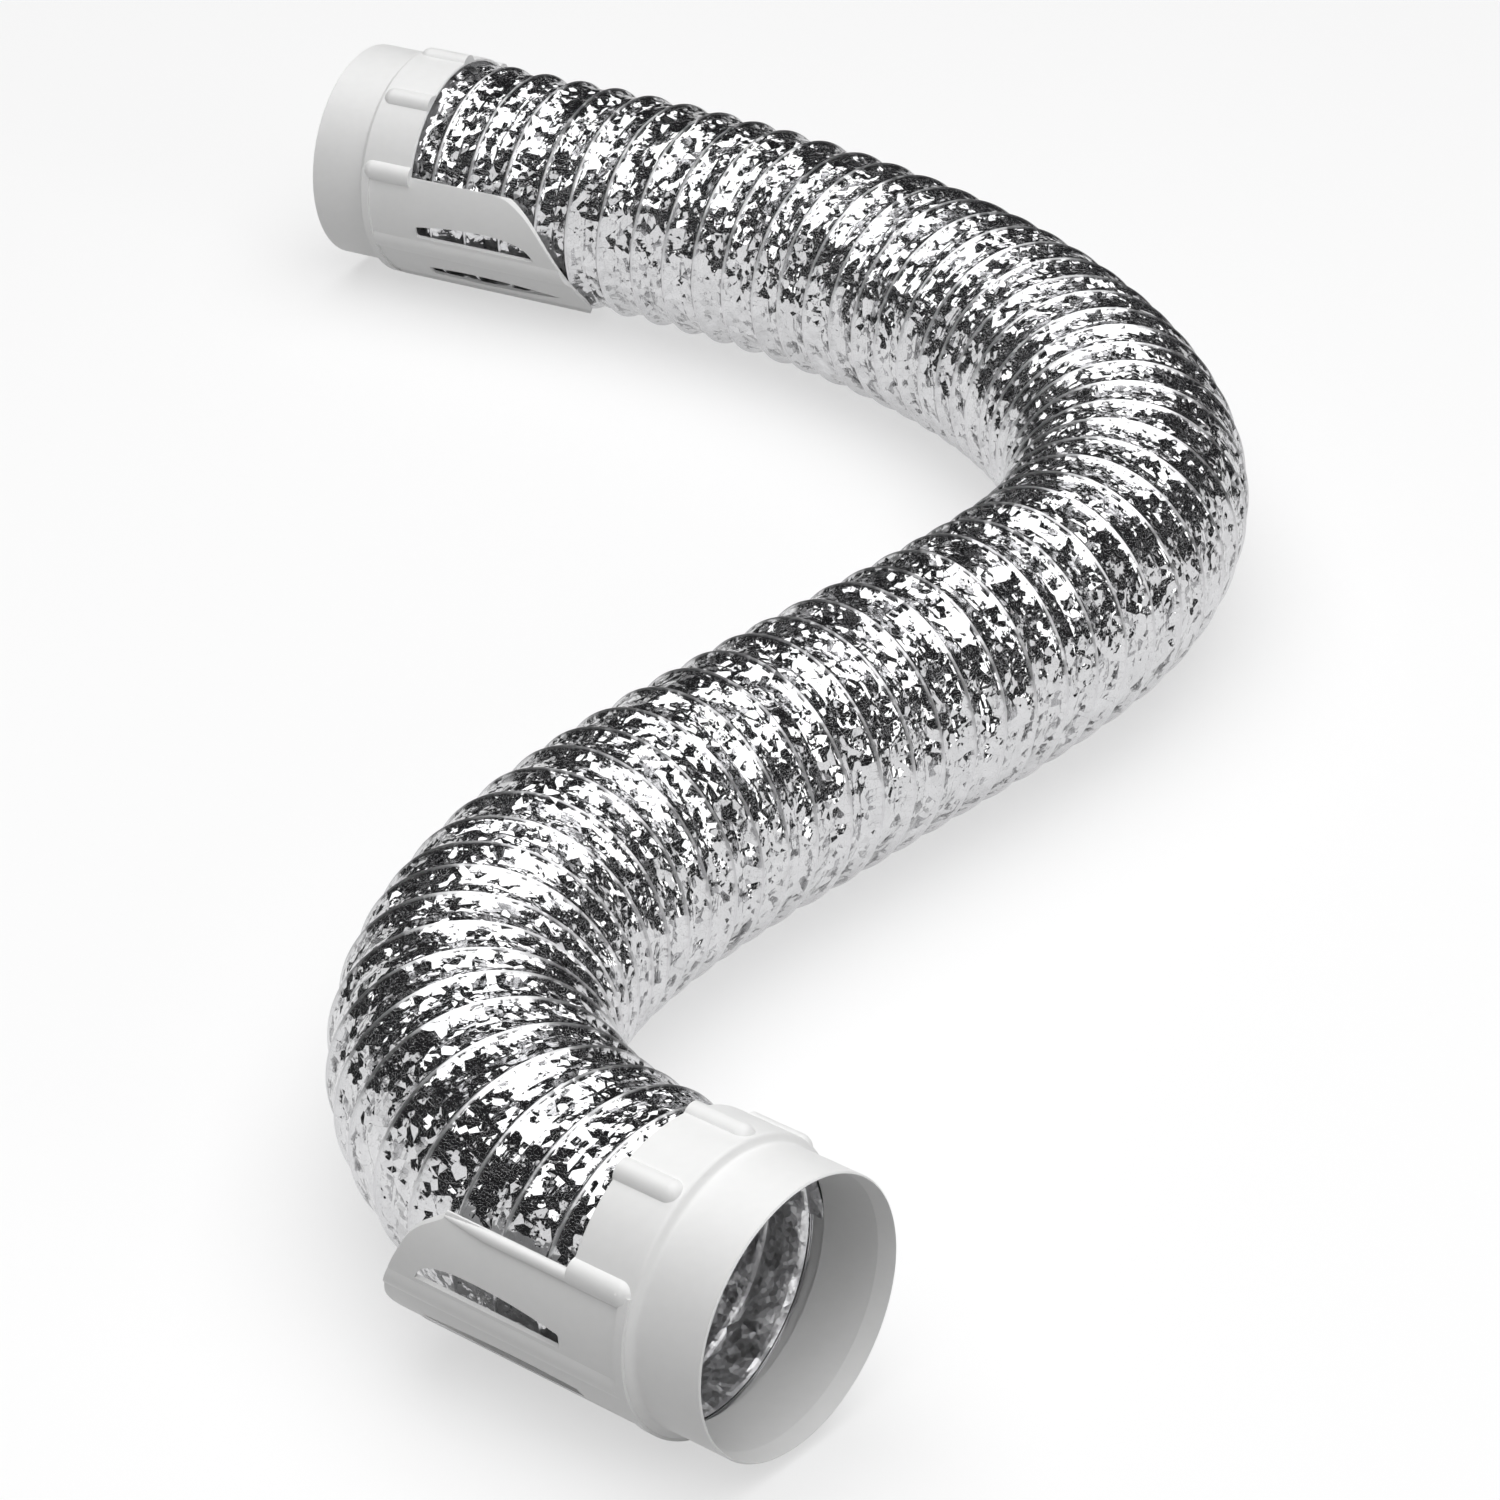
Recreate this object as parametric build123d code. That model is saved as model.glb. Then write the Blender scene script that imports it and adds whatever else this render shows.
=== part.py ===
from build123d import *
import math
import os

# Flexible air duct for 4 inch pipe: two moulded plastic connectors joined by a foil hose.
# The hose is two laminated foil tubes with a spring wire between them, lying in a Z on a surface.
# Frame, in mm: +Z up from that surface, origin below the middle of the whole duct.

# Connector, measured along its own axis from its mouth
COLLAR_R = 53.4           # outside of the smooth collar
COLLAR_BORE_R = 51.4      # slides over or into 4 inch pipe, 101.6 mm across
MOUTH_R = 52.7            # widened lead-in at the mouth
LEAD_IN = 7.0
LIP = 0.5
SHOULDER_START = 27.5
SHOULDER_END = 31.5
STOP = 31.0               # inner step that the hose butts against
SLEEVE_R = 56.4
SLEEVE_BORE_R = 55.0
SLEEVE_EDGE = 58.0
RIB_COUNT = 9
RIB_WIDTH = 9.5
RIB_HEIGHT = 2.8
CRADLE_RIB_HEIGHT = 1.3
RIB_ROOT_R = 55.4         # ribs start inside the sleeve's wall
BEAD_HEIGHT = 1.1
BEAD_WIDTH = 3.4

# Cradle that runs on from the sleeve under the hose: three rib spaces wide, with a rounded tip
CRADLE_HALF_ANGLE = 60.0
CRADLE_TIP = 150.0
# Its edge beyond the straight part: distance from the mouth, and degrees from the cradle's middle
CRADLE_EDGE = [(105, 60), (115, 57.5), (125, 50), (134, 38), (140.5, 26), (145.5, 15), (149, 6)]
EDGE_ROLL_R = 2.3
EDGE_ROLL_SINK = 0.5      # how far its middle lies inside the cradle's outer face
EDGE_ROLL_STRAIGHT = 96.0
EDGE_ROLL_END = 118.0
SLOT_START = 60.5
SLOT_CORNER = 1.2
SIDE_SLOT_END = 127.5
SIDE_SLOT_ANGLE = 28.0
SIDE_SLOT_BLUNT = 5.4
SIDE_SLOT_SHAPE = [(78, 7.6), (98, 8.6), (115, 7.6), (124, 4.4)]     # distance from the mouth, height
MIDDLE_SLOT_END = 135.0
MIDDLE_SLOT_HALF = 5.0
MIDDLE_SLOT_BLUNT = 3.4

# Hose walls: outer foil, wire, inner foil
FOIL_R = 54.6
FOIL_WALL = 0.7
WIRE_RING_R = 53.3
WIRE_R = 0.5
LINER_R = 52.7
LINER_WALL = 0.7
WIRE_PITCH = 19.6
HOSE_AXIS_Z = 55.0
HOSE_GAP = 0.3            # between the hose's end and the connector's inner step

# The way each cradle faces, in degrees above level, on the side of the row's -Y
NEAR_CRADLE = -37.0
FAR_CRADLE = -44.0

# Centreline of the hose, from the near connector's step to the far one's, seen from above
ROUTE = [
    (-9, -498), (-49, -465), (-87, -418), (-108, -350), (-94, -272), (-50, -196),
    (22, -112), (104, -21), (148, 42), (169, 118), (159, 200), (119, 287),
    (50, 367), (-38, 427), (-127, 474), (-169, 496),
]
ARC_SHARE = 0.45          # of the shorter run beside a corner, taken by its arc

# The hose's five stretches: each ends half way along the run that follows these points
STRETCH_ENDS = {"near": 1, "near_bend": 4, "mid": 7, "far_bend": 11, "far": None}


def rib_places():
    """Each rib's angle from the cradle's middle, and its height: the two under the hose are low."""
    step = 360.0 / RIB_COUNT
    places = []
    for k in range(RIB_COUNT):
        angle = step * (k + 0.5)
        in_cradle = min(angle, 360 - angle) < CRADLE_HALF_ANGLE - step / 2
        places.append((angle, CRADLE_RIB_HEIGHT if in_cradle else RIB_HEIGHT))
    return places


def axis_height(cradle_angle):
    """Height of a connector's axis when its lowest rib touches the surface."""
    depths = [-(SLEEVE_R + height) * math.sin(math.radians(cradle_angle + angle))
              for angle, height in rib_places()]
    return max(depths)


def route_points():
    """The centreline in 3-D: at connector height at both ends, sinking to the surface between."""
    near_z = axis_height(NEAR_CRADLE)
    far_z = axis_height(FAR_CRADLE)
    half_way = (near_z + HOSE_AXIS_Z) / 2
    heights = [near_z, near_z, near_z, half_way]
    heights += [HOSE_AXIS_Z] * (len(ROUTE) - 7)
    heights += [far_z, far_z, far_z]
    return [Vector(x, y, z) for (x, y), z in zip(ROUTE, heights)]


def corner_radii(points):
    """Radius of the arc at each inner point, as large as its two runs allow."""
    radii = []
    for before, here, after in zip(points, points[1:], points[2:]):
        turn = (here - before).get_angle(after - here)
        shorter = min((here - before).length, (after - here).length)
        radii.append(ARC_SHARE * shorter / math.tan(math.radians(turn / 2)))
    return radii


def stretch_paths(points):
    """The centreline cut into its stretches, each a wire of straight runs and tangent arcs."""
    radii = corner_radii(points)
    paths = {}
    first = 1
    start = points[0]
    for name, last in STRETCH_ENDS.items():
        if last is None:
            last = len(points) - 2
            end = points[-1]
        else:
            end = (points[last] + points[last + 1]) / 2
        inner = points[first:last + 1]
        paths[name] = FilletPolyline(start, *inner, end, radius=radii[first - 1:last])
        first = last + 1
        start = end
    return paths


def tube(path, outer_r, wall):
    """A hollow tube of one layer along a path."""
    plane = Plane(path.location_at(0))
    section = plane * (Circle(outer_r) - Circle(outer_r - wall))
    return sweep(section, path=path.wire() if isinstance(path, Edge) else path)


def wire_rings(path, first_at):
    """One turn of the spring wire every pitch along a path, each a closed ring."""
    rings = []
    at = first_at
    while at < path.length - WIRE_R:
        place = path.location_at(at, position_mode=PositionMode.LENGTH)
        rings.append(place * Torus(WIRE_RING_R, WIRE_R))
        at += WIRE_PITCH
    return Compound(children=rings), at - path.length


def connector_shell():
    """Collar, shoulder and sleeve, turned about X, with the mouth at X = 0."""
    with BuildLine() as outline:
        Polyline(
            (LIP, COLLAR_R), (0, COLLAR_R - LIP), (0, MOUTH_R),
            (LEAD_IN, COLLAR_BORE_R), (STOP, COLLAR_BORE_R), (STOP, SLEEVE_BORE_R),
            (SLEEVE_EDGE, SLEEVE_BORE_R), (SLEEVE_EDGE, SLEEVE_R - LIP),
            (SLEEVE_EDGE - LIP, SLEEVE_R), (SHOULDER_END, SLEEVE_R),
        )
        Spline(
            (SHOULDER_END, SLEEVE_R), (SHOULDER_START, COLLAR_R),
            tangents=((-1, 0), (-1, 0)),
        )
        Line((SHOULDER_START, COLLAR_R), (LIP, COLLAR_R))
    return revolve(make_face(outline.line), axis=Axis.X)


def sector(x0, x1, r0, r1):
    """Part of a turned ring as wide as the cradle, with its middle towards +Z."""
    profile = Plane.XZ * Pos((x0 + x1) / 2, (r0 + r1) / 2) * Rectangle(x1 - x0, r1 - r0)
    turned = revolve(profile, axis=Axis.X, revolution_arc=2 * CRADLE_HALF_ANGLE)
    low = min(v.Y for v in turned.vertices())
    back = CRADLE_HALF_ANGLE if low < -1 else -CRADLE_HALF_ANGLE
    return Rot(X=-back if low < -1 else back) * turned


def cradle_outline():
    """The cradle seen square on: straight edges that close in a rounded tip."""
    left = [(x, SLEEVE_R * math.sin(math.radians(angle))) for x, angle in CRADLE_EDGE]
    right = [(x, -y) for x, y in left]
    x0, y0 = left[0]
    with BuildLine() as outline:
        Spline(*left, (CRADLE_TIP, 0), *right[::-1], tangents=((1, 0), (-1, 0)))
        Polyline((x0, -y0), (x0, -y0 - RIB_WIDTH), (0, -y0 - RIB_WIDTH), (0, y0 + RIB_WIDTH),
                 (x0, y0 + RIB_WIDTH), (x0, y0))
    return extrude(make_face(outline.line), 2 * SLEEVE_R)


def side_slot():
    """A D-shaped slot: its straight side is next to a rib, and it is blunt by the sleeve."""
    low = SLEEVE_BORE_R * math.sin(math.radians(SIDE_SLOT_ANGLE))
    with BuildLine() as outline:
        Polyline(
            (SIDE_SLOT_END, low), (SLOT_START, low), (SLOT_START, low + SIDE_SLOT_BLUNT)
        )
        Spline(
            (SLOT_START, low + SIDE_SLOT_BLUNT),
            *[(x, low + height) for x, height in SIDE_SLOT_SHAPE],
            (SIDE_SLOT_END, low),
        )
    face = make_face(outline.line)
    face = fillet(face.vertices().sort_by(Axis.X)[:2], SLOT_CORNER)
    return extrude(face, 2 * SLEEVE_R)


def middle_slot():
    """A slot between the cradle's two inner ribs, wider in its middle."""
    middle = (SLOT_START + MIDDLE_SLOT_END) / 2
    with BuildLine() as outline:
        Line((SLOT_START, -MIDDLE_SLOT_BLUNT), (SLOT_START, MIDDLE_SLOT_BLUNT))
        for side in (1, -1):
            Spline(
                (SLOT_START, side * MIDDLE_SLOT_BLUNT),
                (middle, side * MIDDLE_SLOT_HALF),
                (MIDDLE_SLOT_END, 0),
            )
    return extrude(make_face(outline.line), 2 * SLEEVE_R)


def rib(angle, height, end):
    """A rounded rib along the sleeve: it rises in a curve at the shoulder and is cut off square."""
    radius = ((RIB_WIDTH / 2) ** 2 + height ** 2) / (2 * height)
    start = SHOULDER_END + RIB_WIDTH / 2
    bar = Rot(Y=90) * Cylinder(radius, end - start, align=(Align.CENTER, Align.CENTER, Align.MIN))
    bar = Pos(start, 0, 0) * (bar + Sphere(radius))
    bar = Rot(X=angle) * Pos(0, 0, SLEEVE_R + height - radius) * bar
    inside = Rot(Y=90) * Cylinder(RIB_ROOT_R, 4 * CRADLE_TIP)
    return bar - inside


def edge_roll(side):
    """The rolled edge along one side of the cradle, thinning out where the edge curves in."""
    straight = EDGE_ROLL_STRAIGHT - SLEEVE_EDGE + BEAD_WIDTH
    low_end = (Align.CENTER, Align.CENTER, Align.MIN)
    bar = Rot(Y=90) * Cylinder(EDGE_ROLL_R, straight, align=low_end)
    taper = Rot(Y=90) * Cone(EDGE_ROLL_R, LIP, EDGE_ROLL_END - EDGE_ROLL_STRAIGHT, align=low_end)
    bar = Pos(SLEEVE_EDGE - BEAD_WIDTH, 0, 0) * bar + Pos(EDGE_ROLL_STRAIGHT, 0, 0) * taper
    angle = CRADLE_HALF_ANGLE - math.degrees(EDGE_ROLL_R / SLEEVE_R)
    bar = Rot(X=side * angle) * Pos(0, 0, SLEEVE_R - EDGE_ROLL_SINK) * bar
    inside = Rot(Y=90) * Cylinder(SLEEVE_BORE_R + LIP, 4 * CRADLE_TIP)
    return bar - inside


def connector():
    """One moulded connector, with its mouth at the origin and its cradle towards +Z."""
    outline = cradle_outline()
    body = connector_shell()
    body += sector(SLEEVE_EDGE - 2 * LIP, CRADLE_TIP + LIP, SLEEVE_BORE_R, SLEEVE_R) & outline
    body += sector(SHOULDER_END - LIP, SHOULDER_END + BEAD_WIDTH, RIB_ROOT_R, SLEEVE_R + BEAD_HEIGHT)
    for angle, height in rib_places():
        if height == CRADLE_RIB_HEIGHT:
            body += rib(angle, height, CRADLE_TIP + RIB_WIDTH) & outline
        else:
            body += rib(angle, height, SLEEVE_EDGE)
    for side in (1, -1):
        body += edge_roll(side) & outline
    body -= side_slot()
    body -= mirror(side_slot(), about=Plane.XZ)
    body -= middle_slot()
    return body


def placed_connector(shape, at, towards, cradle_angle):
    """A connector with its step at the hose's end, its axis along the hose's first run."""
    along = (towards - at).normalized()
    level = Vector(along.Y, -along.X, 0)
    if level.Y > 0:
        level = -level
    tilt = math.radians(cradle_angle)
    facing = level * math.cos(tilt) + Vector(0, 0, 1) * math.sin(tilt)
    mouth = at - along * (STOP + HOSE_GAP)
    return Plane(origin=mouth, x_dir=along, z_dir=facing).location * shape


def write(name, shape):
    shape.label = name
    export_step(shape, os.path.join("parts", name + ".step"))


os.makedirs("parts", exist_ok=True)
points = route_points()
paths = stretch_paths(points)
print("corner radii, mm:", [round(r) for r in corner_radii(points)])
print("hose length, mm:", round(sum(p.length for p in paths.values()), 1))

one = connector()
write("near_connector", placed_connector(one, points[0], points[1], NEAR_CRADLE))
write("far_connector", placed_connector(one, points[-1], points[-2], FAR_CRADLE))

first_ring = WIRE_PITCH / 2
for name, path in paths.items():
    foil = tube(path, FOIL_R, FOIL_WALL)
    section_area = math.pi * (FOIL_R ** 2 - (FOIL_R - FOIL_WALL) ** 2)
    print(name, "volume over section times length:", round(foil.volume / section_area / path.length, 5))
    write("outer_foil_" + name, foil)
    write("inner_foil_" + name, tube(path, LINER_R, LINER_WALL))
    rings, first_ring = wire_rings(path, first_ring)
    write("spring_wire_" + name, rings)
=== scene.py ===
"""Flexible foil air duct: the visual model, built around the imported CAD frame. Metres, Z up.

The two layers of foil and the spring wire are laid out in millimetres, along the hose's route and round it.
They become metres where their points are made.
"""
import math

import bpy
import numpy as np
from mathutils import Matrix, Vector


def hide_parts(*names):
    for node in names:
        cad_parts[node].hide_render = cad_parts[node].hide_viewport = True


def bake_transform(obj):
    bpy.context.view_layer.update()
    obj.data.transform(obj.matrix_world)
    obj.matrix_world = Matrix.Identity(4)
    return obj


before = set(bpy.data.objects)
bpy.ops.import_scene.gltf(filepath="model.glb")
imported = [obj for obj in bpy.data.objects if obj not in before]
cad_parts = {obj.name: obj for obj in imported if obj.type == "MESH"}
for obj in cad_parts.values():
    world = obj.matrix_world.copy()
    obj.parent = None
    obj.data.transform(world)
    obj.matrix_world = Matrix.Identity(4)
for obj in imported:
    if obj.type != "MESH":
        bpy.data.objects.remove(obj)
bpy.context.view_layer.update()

# ---------------------------------------------------------------- the route of the hose
MM = 0.001
TURN = 2 * math.pi
ROUTE = [
    (-9, -498, 58.76), (-49, -465, 58.76), (-87, -418, 58.76), (-108, -350, 56.88),
    (-94, -272, 55), (-50, -196, 55), (22, -112, 55), (104, -21, 55),
    (148, 42, 55), (169, 118, 55), (159, 200, 55), (119, 287, 55), (50, 367, 55),
    (-38, 427, 57.44), (-127, 474, 57.44), (-169, 496, 57.44),
]
SPLIT_AFTER = 7          # the two halves meet half way between this point and the next
HALF_NAMES = ("near_half", "far_half")
HOSE_RADIUS = 54         # mm from the line to the foil, for the creases, the texture and the bends
ROUND = 2 * math.pi * HOSE_RADIUS     # mm round the hose
PITCH = 19.6             # mm from one turn of wire to the next


def spline_points():
    """The points of the route's smooth line, in metres."""
    curve = bpy.data.curves.new("hose_route", "CURVE")
    curve.dimensions = "3D"
    curve.resolution_u = 24
    spline = curve.splines.new("NURBS")
    spline.points.add(len(ROUTE) - 1)
    for point, place in zip(spline.points, ROUTE):
        point.co = (*[v * MM for v in place], 1.0)
    spline.order_u = 3
    spline.use_endpoint_u = True
    holder = bpy.data.objects.new("hose_route", curve)
    mesh = bpy.data.meshes.new_from_object(holder)
    points = np.array([v.co for v in mesh.vertices], float)
    bpy.data.meshes.remove(mesh)
    bpy.data.objects.remove(holder)
    bpy.data.curves.remove(curve)
    return points


def steps_between(points):
    """How far each point is from the one before it."""
    return np.linalg.norm(np.diff(points, axis=0), axis=1)


SAME_POINT = 1e-7        # metres: closer than this, two points are one
line = spline_points()
line = line[np.r_[True, steps_between(line) > SAME_POINT]]
along = np.r_[0, np.cumsum(steps_between(line))] / MM
LENGTH = along[-1]
split_place = (np.array(ROUTE[SPLIT_AFTER]) + ROUTE[SPLIT_AFTER + 1]) / 2 * MM
split_index = int(np.linalg.norm(line - split_place, axis=1).argmin())
SPLIT = along[split_index]

# Tables with one row for each millimetre of the line.
every_mm = np.arange(0, LENGTH + 1, 1.0)
spot = np.stack([np.interp(every_mm, along, line[:, k]) for k in range(3)], 1)
SMOOTH_OVER = 13         # rows that smoothing blends at a time
kernel = np.hanning(SMOOTH_OVER)
kernel /= kernel.sum()


def smoothed(values, times):
    """A table whose rows are blended with the rows round them, this many times."""
    reach = SMOOTH_OVER // 2
    for _ in range(times):
        padded = np.r_[np.repeat(values[:1], reach, 0), values, np.repeat(values[-1:], reach, 0)]
        values = np.stack([np.convolve(padded[:, k], kernel, "valid") for k in range(values.shape[1])], 1)
    return values


heading = smoothed(np.gradient(spot, axis=0), 2)
heading /= np.linalg.norm(heading, axis=1)[:, None]
side = np.cross(heading, (0, 0, 1.0))
side /= np.linalg.norm(side, axis=1)[:, None]
upward = np.cross(side, heading)
turning = smoothed(np.gradient(heading, axis=0), 3)      # per mm, towards the inside of the bend
bend_side = (turning * side).sum(1)                      # above 0 where the side is the inside


def at(table, s):
    """The table's values at these distances along the line, in mm."""
    return np.stack([np.interp(s, every_mm, table[:, k]) for k in range(3)], -1)


def outward_from(s, angle):
    """Unit directions out of the hose, at these distances along it and angles round it."""
    return at(side, s) * np.cos(angle)[..., None] + at(upward, s) * np.sin(angle)[..., None]


# ---------------------------------------------------------------- seeded noise
def ease(t):
    """From 0 to 1, flat at both ends."""
    return t * t * (3 - 2 * t)


def cell_of(x, y, nx, ny):
    """The cell that each place is in: its x, its two sides in y, and how far across it the place is."""
    i = np.floor(x).astype(int)
    j = np.floor(y).astype(int)
    return np.clip(i, 0, nx + 1), j % ny, (j + 1) % ny, x - i, y - j


def smooth_noise(seed, nx, ny):
    """Smooth noise from -1 to 1, over nx cells by ny, repeating in y."""
    values = np.random.default_rng(seed).uniform(-1, 1, (nx + 3, ny))

    def read(x, y):
        i, j, k, fx, fy = cell_of(x, y, nx, ny)
        fx = ease(fx)
        fy = ease(fy)
        low = values[i, j] * (1 - fx) + values[i + 1, j] * fx
        high = values[i, k] * (1 - fx) + values[i + 1, k] * fx
        return low * (1 - fy) + high * fy

    return read


def facet_noise(seed, nx, ny):
    """Flat facets from -1 to 1: random heights on cells that are each cut along one of their diagonals."""
    rng = np.random.default_rng(seed)
    values = rng.uniform(-1, 1, (nx + 3, ny))
    slant = rng.random((nx + 3, ny)) > 0.5

    def read(x, y):
        i, j, k, fx, fy = cell_of(x, y, nx, ny)
        a, b, c, d = values[i, j], values[i + 1, j], values[i, k], values[i + 1, k]
        one = np.where(fx > fy, a + fx * (b - a) + fy * (d - b), a + fy * (c - a) + fx * (d - c))
        two = np.where(fx + fy < 1, a + fx * (b - a) + fy * (c - a),
                       d + (1 - fx) * (c - d) + (1 - fy) * (b - d))
        return np.where(slant[i, j], one, two)

    return read


def crumple(seed, s, angle, cell, warp):
    """Creased foil, from -1 to 1, in flat facets about cell mm across, pushed about by warp cells."""
    ny = round(ROUND / cell)
    nx = int(LENGTH / cell) + 6
    x = s / cell + 2
    y = angle / TURN * ny
    wx = facet_noise(seed + 1, nx, ny)(x * 0.5, y)
    wy = facet_noise(seed + 2, nx, ny)(x * 0.5 + 0.3, y + 0.5)
    return facet_noise(seed, nx, ny)(x + warp * wx, y + warp * wy)


def patches(seed, size, count):
    """Smooth noise over the whole hose, in patches size mm long, with count of them round it."""
    noise = smooth_noise(seed, int(LENGTH / size) + 4, count)
    return lambda s, angle: noise(s / size, angle * count / TURN)


# ---------------------------------------------------------------- where each turn of wire lies
TURNS = int(LENGTH / PITCH) + 3
FIRST_TURN = 0.6         # turns that the wire begins before the hose does
HELD = 40                # mm at each end where the connector holds the hose
LOOSEN_OVER = 60         # mm over which it comes free
UNEVEN = 1.3             # mm that a turn may wander, lean back or lean aside
wander = smooth_noise(11, 2 * TURNS, 1)
lean_up = smooth_noise(12, 2 * TURNS, 1)
lean_side = smooth_noise(13, 2 * TURNS, 1)


def loose(s):
    """0 in the connectors, 1 in the free hose."""
    return ease(np.clip((np.minimum(s, LENGTH - s) - HELD) / LOOSEN_OVER, 0, 1))


def station(turn, angle):
    """How far along the hose a turn of wire is, in mm: even in the connectors, a little uneven between."""
    s = (turn + angle / TURN) * PITCH - FIRST_TURN * PITCH
    n = np.clip(s / PITCH, 0, TURNS)
    zero = np.zeros_like(s)
    return s + loose(s) * (UNEVEN * wander(n * 0.7, zero) + UNEVEN * lean_up(n * 0.55, zero) * np.sin(angle)
                           + UNEVEN * lean_side(n * 0.6, zero) * np.cos(angle))


def closeness(s, angle):
    """How much closer the turns stand than on a straight: above 0 inside a bend, below 0 outside."""
    spacing = 1 - np.interp(s, every_mm, bend_side) * HOSE_RADIUS * np.cos(angle)
    return 1 - np.clip(spacing, 0.4, 1.6)


# ---------------------------------------------------------------- the skin of the hose
# Heights and depths in mm. A phase is how far across a turn a point is: 0 on this wire, 1 on the next.
HELD_BAY = 0.55          # depth of the bay between two turns, in the connectors
FREE_BAY = 0.75          # what the free hose adds
INSIDE_BAY = 1.6         # what the inside of a bend adds, for each unit of closeness
OUTSIDE_BAY = 3.0        # what the outside takes off
UNEVEN_BAY = 0.4         # how much the depth differs from place to place
WIDE_SHOULDER = 0.5      # depth and reach of the two slopes that come down from the wire
WIDE_REACH = 2.6
STEEP_SHOULDER = 1.0
STEEP_REACH = 1.05
LAP = 0.512              # phase where one strip of foil laps over the next
LAP_GROOVE = 0.25        # depth of the groove there
LAP_WIDTH = 0.05         # half of the groove's width, as a phase
LAP_STEP = 0.12          # how much lower the strip past the lap starts
LAP_STEP_END = 0.8       # phase where it is level again
LAP_STEP_FADE = 0.28     # phase over which it rises
HOLD_REACH = 2.4         # how far from the wire the foil is held still
RIDGE_REACH = 1.5        # half width of the worn ridge
ON_THE_WIRE = 0.06       # share of the folds that is left on the wire itself
TIGHTEN = 0.55           # share of the folds that is lost where the turns stand closest
OVER_CREST = 0.05        # the most that a fold may stand over the crest
SLUMP = 0.3              # how far the foil slumps in or out over a few centimetres
FOLD_SEED = 100          # both layers fold alike
depth_change = patches(15, PITCH, 5)
slump = patches(14, 14, 11)
how_busy = patches(FOLD_SEED + 40, 22, 15)


def by_wire(from_wire, reach):
    """1 at the wire, falling to 0 beyond reach."""
    return np.exp(-(from_wire / reach) ** 2)


def folds_at(s, angle, heights):
    """Folds of three sizes, big, middle and fine, of these heights. The fine ones come in patches."""
    big, middle, fine = heights
    busy = np.clip(0.6 + 1.2 * how_busy(s, angle), 0.15, 1.4)
    return (big * crumple(FOLD_SEED, s, angle, 13, 0.3) + middle * crumple(FOLD_SEED + 10, s, angle, 7, 0.3)
            + fine * busy * crumple(FOLD_SEED + 20, s, angle, 3.6, 0.25))


def skin(turn, phase, angle, crest, relief, fold_heights):
    """A layer's points, in metres, how far along each is, in mm, and how near the wire, from 0 to 1."""
    a = station(turn, angle)
    b = station(turn + 1, angle)
    s = a + (b - a) * phase
    inside = np.clip(s, 0, LENGTH)
    free = loose(inside)
    across = phase * PITCH
    from_wire = np.minimum(across, PITCH - across)
    close = closeness(inside, angle)
    bent = INSIDE_BAY * np.clip(close, 0, 0.6) + OUTSIDE_BAY * np.clip(close, -0.2, 0)
    depth = (HELD_BAY + FREE_BAY * free) + bent * free
    depth = depth + UNEVEN_BAY * free * depth_change(inside, angle)
    sag = np.sin(np.pi * phase) ** 0.7
    shoulder = (WIDE_SHOULDER * (1 - by_wire(from_wire, WIDE_REACH))
                + STEEP_SHOULDER * (1 - by_wire(from_wire, STEEP_REACH)))
    lap = LAP_GROOVE * np.clip(1 - np.abs(phase - LAP) / LAP_WIDTH, 0, 1)
    lap = lap + LAP_STEP * (phase > LAP) * np.clip((LAP_STEP_END - phase) / LAP_STEP_FADE, 0, 1)
    hold = 1 - by_wire(from_wire, HOLD_REACH)
    tight = 1 - TIGHTEN * np.clip(close / 0.5, 0, 1)
    folds = folds_at(inside, angle, fold_heights) * tight * (ON_THE_WIRE + (1 - ON_THE_WIRE) * hold)
    radius = crest - relief * (depth * sag + shoulder + lap) + folds
    radius = radius + SLUMP * slump(inside, angle) * hold * free
    radius = np.minimum(radius, crest + OVER_CREST)
    place = at(spot, inside) + outward_from(inside, angle) * radius[..., None] * MM
    return place, s, by_wire(from_wire, RIDGE_REACH)


def make_mesh(name, points, quads, uv=None, ridge=None, smooth=False):
    """An object of four-sided faces, with its texture places and its closeness to the wire if given."""
    mesh = bpy.data.meshes.new(name)
    mesh.vertices.add(len(points))
    mesh.vertices.foreach_set("co", points.astype(np.float32).ravel())
    mesh.loops.add(quads.size)
    mesh.loops.foreach_set("vertex_index", quads.astype(np.int32).ravel())
    mesh.polygons.add(len(quads))
    mesh.polygons.foreach_set("loop_start", np.arange(0, quads.size, 4, dtype=np.int32))
    mesh.polygons.foreach_set("loop_total", np.full(len(quads), 4, np.int32))
    if uv is not None:
        layer = mesh.uv_layers.new(name="UVMap")
        layer.data.foreach_set("uv", uv.astype(np.float32).ravel())
    if ridge is not None:
        near_wire = mesh.attributes.new("ridge", "FLOAT", "POINT")
        near_wire.data.foreach_set("value", ridge.astype(np.float32))
    mesh.polygons.foreach_set("use_smooth", np.full(len(quads), smooth))
    mesh.update(calc_edges=True)
    mesh.validate()
    piece = bpy.data.objects.new(name, mesh)
    bpy.context.scene.collection.objects.link(piece)
    return piece


def skin_quads(count, rows_in_turn, columns):
    """Faces between each row of the skin and the next. The last column joins the first, one turn on."""
    index = np.arange(count * columns).reshape(count, columns)
    next_turn = np.full(count, -1)
    next_turn[:count - rows_in_turn] = index[rows_in_turn:, 0]
    right = np.roll(index, -1, 1)
    right[:, -1] = next_turn
    quads = np.stack([index[:-1], right[:-1], right[1:], index[1:]], -1).reshape(-1, 4)
    return quads[(quads >= 0).all(1)]


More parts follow.
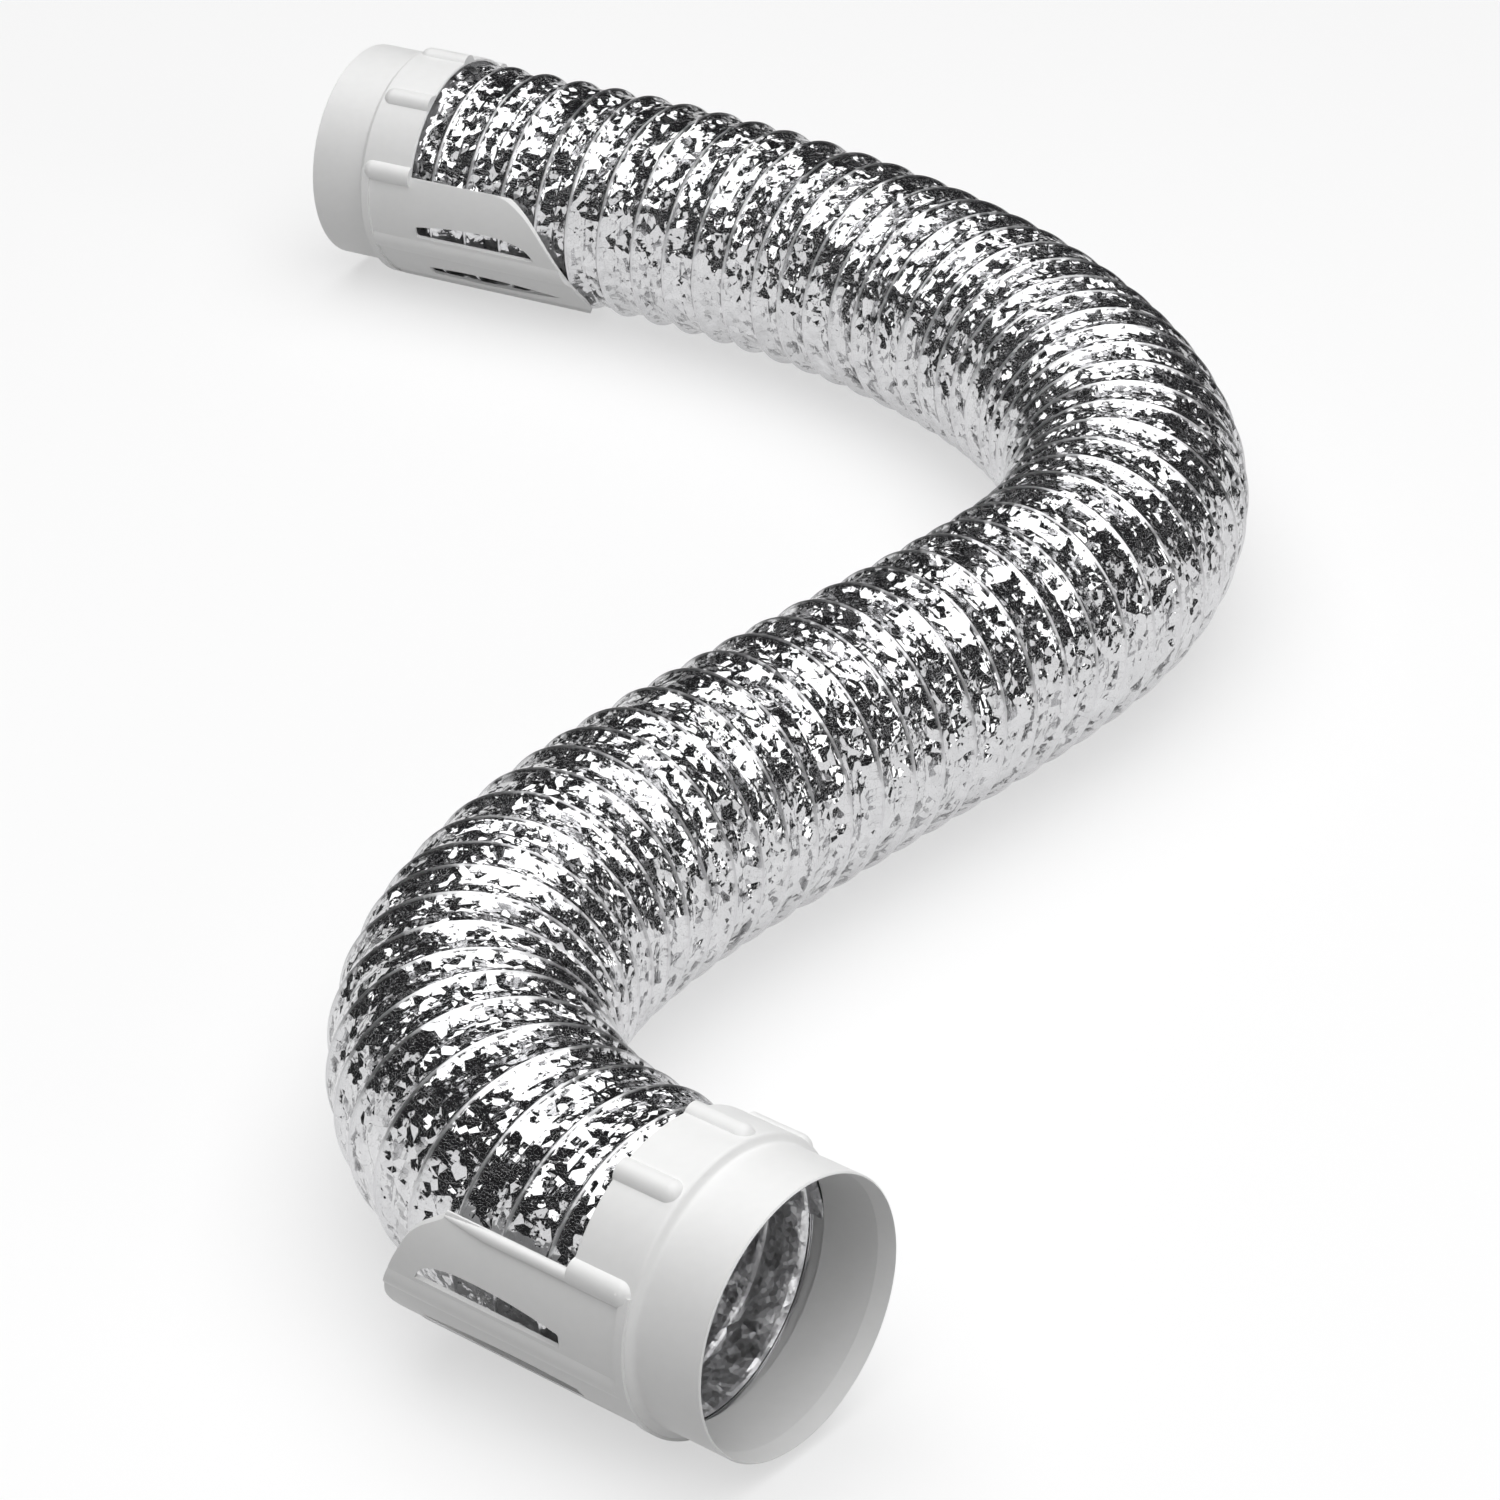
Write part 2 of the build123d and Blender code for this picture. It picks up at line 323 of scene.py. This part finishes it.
def hose_layer(layer, crest, relief, fold_heights, rows, columns, inward=False):
    """One layer of foil as two pieces that meet at the split, with its faces outward or inward."""
    turns = np.repeat(np.arange(TURNS), len(rows))
    angles = np.arange(columns) / columns * 2 * math.pi
    turn, angle = np.meshgrid(turns.astype(float), angles, indexing="ij")
    phase = np.repeat(np.tile(rows, TURNS)[:, None], columns, 1)
    place, s, ridge = skin(turn, phase, angle, crest, relief, fold_heights)
    s = s.ravel()
    quads = skin_quads(len(turns), len(rows), columns)
    quads = quads[(s[quads].max(1) > 0) & (s[quads].min(1) < LENGTH)]
    if inward:
        quads = quads[:, ::-1]
    u = s * MM
    v = np.tile(angles * HOSE_RADIUS * MM, len(turns))
    middle = s[quads].mean(1)
    made = []
    for half, chosen in zip(HALF_NAMES, (middle < SPLIT, middle >= SPLIT)):
        mine = quads[chosen]
        used, flat = np.unique(mine, return_inverse=True)
        corner_v = v[mine]
        # A face across the join between the last column and the first takes its first column one turn on.
        behind = corner_v < corner_v.max(1, keepdims=True) - 0.1
        corner_v = np.where(behind, corner_v + ROUND * MM, corner_v)
        uv = np.stack([u[mine], corner_v], -1).reshape(-1, 2)
        made.append(make_mesh(f"{layer}_{half}", place.reshape(-1, 3)[used], flat.reshape(mine.shape), uv,
                              ridge.ravel()[used]))
    return made


# Phases of the rows of the mesh, closer together at the wire and at the lap between two strips of foil.
OUTER_ROWS = np.array([0, 0.025, 0.05, 0.08, 0.12, 0.18, 0.25, 0.32, 0.39, 0.45, 0.5, 0.525, 0.58, 0.66,
                       0.74, 0.81, 0.87, 0.915, 0.945, 0.972])
INNER_ROWS = np.array([0, 0.06, 0.14, 0.25, 0.37, 0.5, 0.63, 0.75, 0.86, 0.94])
foil = hose_layer("outer_foil", crest=54.75, relief=1.0, fold_heights=(0.8, 0.62, 0.26),
                  rows=OUTER_ROWS, columns=216)
liner = hose_layer("inner_foil", crest=52.1, relief=0.55, fold_heights=(0.8, 0.62, 0.1),
                   rows=INNER_ROWS, columns=132, inward=True)

# ---------------------------------------------------------------- the spring wire
WIRE_HELIX_RADIUS = 53.3   # mm
WIRE_RADIUS = 0.5          # mm
WIRE_END_GAP = 0.8         # mm from the hose's end to the wire's
STEPS_PER_TURN = 96
WIRE_SIDES = 6


def wire(layer):
    """One spring wire in a helix, in two pieces that meet at the split."""
    angle = np.arange(0, TURNS * STEPS_PER_TURN) / STEPS_PER_TURN * 2 * math.pi
    s = station(np.zeros_like(angle), angle)
    keep = (s > WIRE_END_GAP) & (s < LENGTH - WIRE_END_GAP)
    s = s[keep]
    outward = outward_from(s, angle[keep])
    core = at(spot, s) + outward * WIRE_HELIX_RADIUS * MM
    about = np.arange(WIRE_SIDES) / WIRE_SIDES * 2 * math.pi
    points = core[:, None] + (outward[:, None] * np.cos(about)[None, :, None]
                              + at(heading, s)[:, None] * np.sin(about)[None, :, None]) * WIRE_RADIUS * MM
    made = []
    for half, chosen in zip(HALF_NAMES, (s < SPLIT, s >= SPLIT)):
        mine = points[chosen]
        index = np.arange(len(mine) * WIRE_SIDES).reshape(len(mine), WIRE_SIDES)
        beside = np.roll(index, -1, 1)
        quads = np.stack([index[:-1], index[1:], beside[1:], beside[:-1]], -1)
        made.append(make_mesh(f"{layer}_{half}", mine.reshape(-1, 3), quads.reshape(-1, 4), smooth=True))
    return made


wires = wire("spring_wire")


# ---------------------------------------------------------------- materials
def material(name):
    """A new material, its nodes, its links and its shader."""
    made = bpy.data.materials.new(name)
    made.use_nodes = True
    tree = made.node_tree
    return made, tree.nodes, tree.links, tree.nodes["Principled BSDF"]


def node(nodes, kind, **values):
    """A new node with these input values and settings."""
    made = nodes.new(kind)
    for key, value in values.items():
        if key in made.inputs:
            made.inputs[key].default_value = value
        else:
            setattr(made, key, value)
    return made


def ramp(nodes, stops):
    """A colour ramp through these places and colours."""
    made = nodes.new("ShaderNodeValToRGB")
    while len(made.color_ramp.elements) < len(stops):
        made.color_ramp.elements.new(0.5)
    for element, (place, colour) in zip(made.color_ramp.elements, stops):
        element.position = place
        element.color = (*colour, 1)
    return made


def mottled(nodes, links, shader, scale, detail, stops):
    """Gives the shader's colour a soft mottle, and returns the noise it comes from."""
    noise = node(nodes, "ShaderNodeTexNoise", Scale=scale, Detail=detail)
    colours = ramp(nodes, stops)
    links.new(noise.outputs["Fac"], colours.inputs["Fac"])
    links.new(colours.outputs["Color"], shader.inputs["Base Color"])
    return noise


def facets(nodes, links, place, scale, tilt):
    """Height in metres of flat facets about 1/scale m across, each tipped its own way."""
    cells = node(nodes, "ShaderNodeTexVoronoi", Scale=scale, voronoi_dimensions="2D")
    centred = node(nodes, "ShaderNodeVectorMath", operation="SUBTRACT")
    centred.inputs[1].default_value = (0.5, 0.5, 0.5)
    from_middle = node(nodes, "ShaderNodeVectorMath", operation="SUBTRACT")
    slope = node(nodes, "ShaderNodeVectorMath", operation="DOT_PRODUCT")
    height = node(nodes, "ShaderNodeMath", operation="MULTIPLY")
    height.inputs[1].default_value = 2 * tilt
    links.new(place, cells.inputs["Vector"])
    links.new(cells.outputs["Color"], centred.inputs[0])
    links.new(place, from_middle.inputs[0])
    links.new(cells.outputs["Position"], from_middle.inputs[1])
    links.new(centred.outputs["Vector"], slope.inputs[0])
    links.new(from_middle.outputs["Vector"], slope.inputs[1])
    links.new(slope.outputs["Value"], height.inputs[0])
    return height.outputs[0]


WORN_ROUGHNESS = 0.42    # on the ridge over the wire
WORN_SHARPNESS = 2.5     # how closely the wear keeps to the top of the ridge
RIDGE_FACETS = 0.08      # share of the facets' height that is left on the ridge


def foil_material(name, light, dark, rough_low, rough_high, tilts):
    """Creased foil, with facets of several sizes as pairs of scale and tilt."""
    made, nodes, links, shader = material(name)
    shader.inputs["Metallic"].default_value = 1.0
    uv = node(nodes, "ShaderNodeUVMap", uv_map="UVMap")
    tone = mottled(nodes, links, shader, 60.0, 4.0, [(0.35, dark), (0.65, light)])
    links.new(uv.outputs["UV"], tone.inputs["Vector"])
    rough = node(nodes, "ShaderNodeMapRange", **{"To Min": rough_low, "To Max": rough_high})
    links.new(tone.outputs["Fac"], rough.inputs["Value"])
    height = None
    for scale, tilt in tilts:
        layer = facets(nodes, links, uv.outputs["UV"], scale, tilt)
        if height is not None:
            both = node(nodes, "ShaderNodeMath", operation="ADD")
            links.new(height, both.inputs[0])
            links.new(layer, both.inputs[1])
            layer = both.outputs[0]
        height = layer
    # The ridge over the wire is rubbed dull, and its facets are pressed flat.
    ridge = node(nodes, "ShaderNodeAttribute", attribute_name="ridge")
    worn = node(nodes, "ShaderNodeMath", operation="POWER")
    worn.inputs[1].default_value = WORN_SHARPNESS
    dull = node(nodes, "ShaderNodeMapRange", **{"To Max": WORN_ROUGHNESS})
    links.new(ridge.outputs["Fac"], worn.inputs[0])
    links.new(worn.outputs[0], dull.inputs["Value"])
    links.new(rough.outputs["Result"], dull.inputs["To Min"])
    links.new(dull.outputs["Result"], shader.inputs["Roughness"])
    away = node(nodes, "ShaderNodeMapRange", **{"To Min": 1.0, "To Max": RIDGE_FACETS})
    pressed = node(nodes, "ShaderNodeMath", operation="MULTIPLY")
    links.new(ridge.outputs["Fac"], away.inputs["Value"])
    links.new(height, pressed.inputs[0])
    links.new(away.outputs["Result"], pressed.inputs[1])
    relief = node(nodes, "ShaderNodeBump", Strength=1.0, Distance=1.0)
    links.new(pressed.outputs[0], relief.inputs["Height"])
    links.new(relief.outputs["Normal"], shader.inputs["Normal"])
    return made


def steel_material():
    """Drawn spring wire."""
    made, nodes, links, shader = material("spring_wire_steel")
    shader.inputs["Metallic"].default_value = 1.0
    shader.inputs["Roughness"].default_value = 0.3
    mottled(nodes, links, shader, 900.0, 3.0, [(0.3, (0.5, 0.5, 0.51)), (0.7, (0.68, 0.68, 0.69))])
    return made


def plastic_material():
    """White moulded plastic with a fine grain and an uneven sheen."""
    made, nodes, links, shader = material("white_plastic_moulded")
    shader.inputs["Specular IOR Level"].default_value = 0.45
    tone = mottled(nodes, links, shader, 35.0, 3.0,
                   [(0.3, (0.825, 0.825, 0.82)), (0.7, (0.84, 0.84, 0.835))])
    rough = node(nodes, "ShaderNodeMapRange", **{"To Min": 0.36, "To Max": 0.5})
    links.new(tone.outputs["Fac"], rough.inputs["Value"])
    links.new(rough.outputs["Result"], shader.inputs["Roughness"])
    grain = node(nodes, "ShaderNodeTexNoise", Scale=1400.0, Detail=2.0)
    relief = node(nodes, "ShaderNodeBump", Strength=0.25, Distance=0.0001)
    links.new(grain.outputs["Fac"], relief.inputs["Height"])
    links.new(relief.outputs["Normal"], shader.inputs["Normal"])
    return made


def floor_material():
    """White floor that glows for the camera, and much less for the light that it throws on the duct."""
    made, nodes, links, shader = material("floor_white")
    shader.inputs["Base Color"].default_value = (0.4, 0.4, 0.4, 1)
    shader.inputs["Roughness"].default_value = 0.9
    shader.inputs["Specular IOR Level"].default_value = 0.1
    shader.inputs["Emission Color"].default_value = (1, 1, 1, 1)
    rays = nodes.new("ShaderNodeLightPath")
    glow = node(nodes, "ShaderNodeMapRange", **{"To Min": 0.56, "To Max": 0.12})
    links.new(rays.outputs["Is Diffuse Ray"], glow.inputs["Value"])
    links.new(glow.outputs["Result"], shader.inputs["Emission Strength"])
    return made


outer_material = foil_material("outer_foil_bright", (0.70, 0.70, 0.71), (0.64, 0.64, 0.65), 0.05, 0.11,
                               ((130.0, 0.22), (300.0, 0.32), (800.0, 0.06)))
# The liner's base colour is its own bright foil grey, set high so that the shaded inside of the hose reads
# lighter: partly painted light.
inner_material = foil_material("inner_foil_grey", (0.94, 0.94, 0.95), (0.88, 0.88, 0.89), 0.34, 0.46,
                               ((70.0, 0.16), (190.0, 0.22), (460.0, 0.24)))
for skins, finish in ((foil, outer_material), (liner, inner_material), (wires, steel_material())):
    for piece in skins:
        piece.data.materials.append(finish)
plastic = plastic_material()
for name in ("near_connector", "far_connector"):
    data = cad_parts[name].data
    data.materials.clear()
    data.materials.append(plastic)

# ---------------------------------------------------------------- the halves baked in place, and the CAD stretches that they stand for hidden
# Each half: its end, the CAD stretches that it stands for, its bodies, and where it blends between them.
HALVES = [
    ("near", ["near", "near_bend", "mid"], ("near_end", "mid_span"),
     (-0.068, -0.4415, 0.055), (-0.072, -0.234, 0.055)),
    ("far", ["far_bend", "far"], ("mid_span", "far_end"),
     (0.1265, 0.0145, 0.055), (0.0845, 0.327, 0.055)),
]
LAYERS = [("outer_foil", foil), ("inner_foil", liner), ("spring_wire", wires)]
for half, (end, stretches, bodies, start, stop) in enumerate(HALVES):
    for layer, skins in LAYERS:
        piece = skins[half]
        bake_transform(piece)
        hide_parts(*[f"{layer}_{stretch}" for stretch in stretches])

# ---------------------------------------------------------------- floor, light and camera
FLOOR_RADIUS = 14.0
FLOOR_SIDES = 48
FLOOR_LEVEL = -0.0005
floor_mesh = bpy.data.meshes.new("floor")
ring = [(FLOOR_RADIUS * math.cos(a), FLOOR_RADIUS * math.sin(a), FLOOR_LEVEL)
        for a in np.arange(FLOOR_SIDES) / FLOOR_SIDES * 2 * math.pi]
floor_mesh.from_pydata(ring, [], [list(range(FLOOR_SIDES))])
floor = bpy.data.objects.new("floor", floor_mesh)
bpy.context.scene.collection.objects.link(floor)
floor.data.materials.append(floor_material())


def softbox(name, place, target, width, height, radiance):
    """A rectangular lamp that faces its target."""
    lamp = bpy.data.lights.new(name, "AREA")
    lamp.shape = "RECTANGLE"
    lamp.size = width
    lamp.size_y = height
    lamp.energy = width * height * math.pi * radiance
    made = bpy.data.objects.new(name, lamp)
    made.location = place
    made.rotation_mode = "QUATERNION"
    made.rotation_quaternion = (Vector(target) - made.location).to_track_quat("-Z", "Y")
    bpy.context.scene.collection.objects.link(made)


softbox("softbox_top", (0.0, -0.5, 2.5), (0, -0.5, 0), 3.4, 5.2, 2.2)
softbox("softbox_right", (2.5, -2.5, 1.3), (0, -0.4, 0), 1.4, 1.4, 2.6)

# The camera sees a light backdrop, and the duct sees a dark room.
world = bpy.data.worlds.new("studio")
bpy.context.scene.world = world
world.use_nodes = True
nodes = world.node_tree.nodes
links = world.node_tree.links
room = nodes["Background"]
room.inputs["Color"].default_value = (0.02, 0.02, 0.021, 1)
backdrop = nodes.new("ShaderNodeBackground")
backdrop.inputs["Color"].default_value = (0.93, 0.93, 0.93, 1)
rays = nodes.new("ShaderNodeLightPath")
either = nodes.new("ShaderNodeMixShader")
links.new(rays.outputs["Is Camera Ray"], either.inputs["Fac"])
links.new(room.outputs[0], either.inputs[1])
links.new(backdrop.outputs[0], either.inputs[2])
links.new(either.outputs[0], nodes["World Output"].inputs["Surface"])

CAMERA_PLACE = (-0.002, -2.003, 1.1098)
CAMERA_DOWN = 29.18      # degrees below level
CAMERA_SENSOR = 36.0     # mm
CAMERA_LENS = 127.5504   # mm
camera_data = bpy.data.cameras.new("camera")
camera_data.sensor_width = CAMERA_SENSOR
camera_data.lens = CAMERA_LENS
camera_data.clip_start = 0.05
camera_data.clip_end = 60
camera = bpy.data.objects.new("camera", camera_data)
camera.location = CAMERA_PLACE
camera.rotation_euler = (math.radians(90 - CAMERA_DOWN), 0, 0)
bpy.context.scene.collection.objects.link(camera)
bpy.context.scene.camera = camera
bpy.context.scene.view_settings.view_transform = "Standard"
bpy.context.scene.view_settings.exposure = 0.0
